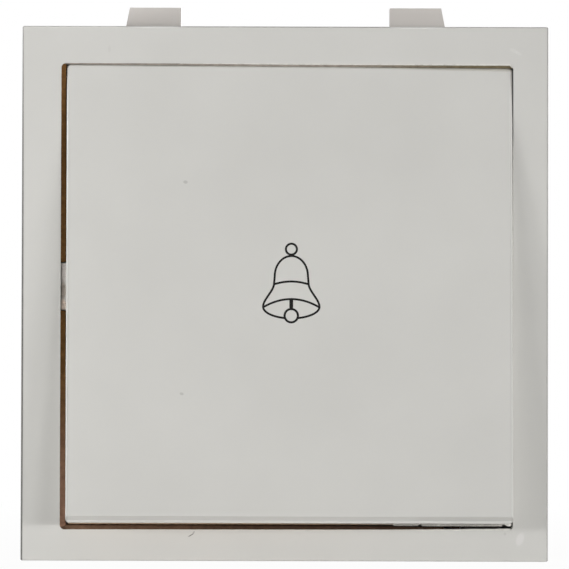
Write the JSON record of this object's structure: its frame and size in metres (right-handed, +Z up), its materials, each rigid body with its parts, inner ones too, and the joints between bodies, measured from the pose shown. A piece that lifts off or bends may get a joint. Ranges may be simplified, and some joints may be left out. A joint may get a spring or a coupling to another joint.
{
  "type": "bell push switch",
  "caption": "Square bell push switch with a full-face rocker on side trunnions in a moulded frame, with grid hooks and a rear contact base.",
  "frame": {"origin": "centre of the mounting plane, the back rim of the frame's skirt", "axes": "+X to the right and +Z up as the switch is seen on the wall, +Y into the wall"},
  "size_m": [0.0448, 0.0307, 0.0476],
  "materials": {
    "frame_abs": "satin moulded ABS",
    "rocker_abs": "satin moulded ABS",
    "base_phenolic": "moulded phenolic",
    "plunger_acetal": "moulded acetal",
    "contact_copper": "stamped copper strip",
    "contact_silver": "silver alloy rivet",
    "terminal_brass": "turned and milled brass",
    "screw_steel": "zinc plated steel",
    "spring_steel": "drawn spring wire"
  },
  "bodies": {
    "housing": {"front_frame": "frame_abs", "rear_base": "base_phenolic", "guide_plate": "base_phenolic", "return_spring": "spring_steel", "contact_arm_left": "contact_copper", "contact_arm_right": "contact_copper", "fixed_contact_left": "contact_silver", "fixed_contact_right": "contact_silver", "terminal_block_left": "terminal_brass", "terminal_block_right": "terminal_brass", "terminal_screw_left": "screw_steel", "terminal_screw_right": "screw_steel"},
    "rocker": {"rocker": "rocker_abs"},
    "carrier": {"plunger": "plunger_acetal", "contact_bridge": "contact_copper", "contact_spring": "spring_steel", "moving_contact_left": "contact_silver", "moving_contact_right": "contact_silver"}
  },
  "joints": [
    {"name": "rocker_press", "type": "hinge", "parent": "housing", "child": "rocker", "pos_m": [0, -0.0026, 0.0006], "axis": [1, 0, 0], "range_deg": [0, 7], "stiffness_Nm_per_rad": 0.15, "springref_deg": -17.19},
    {"name": "plunger_slide", "type": "slide", "parent": "housing", "child": "carrier", "axis": [0, 1, 0], "range_m": [0, 0.00172], "deforming": ["return_spring"]}
  ],
  "couplings": [
    {"joint": "plunger_slide", "follows": "rocker_press", "m_per_rad": 0.014}
  ]
}
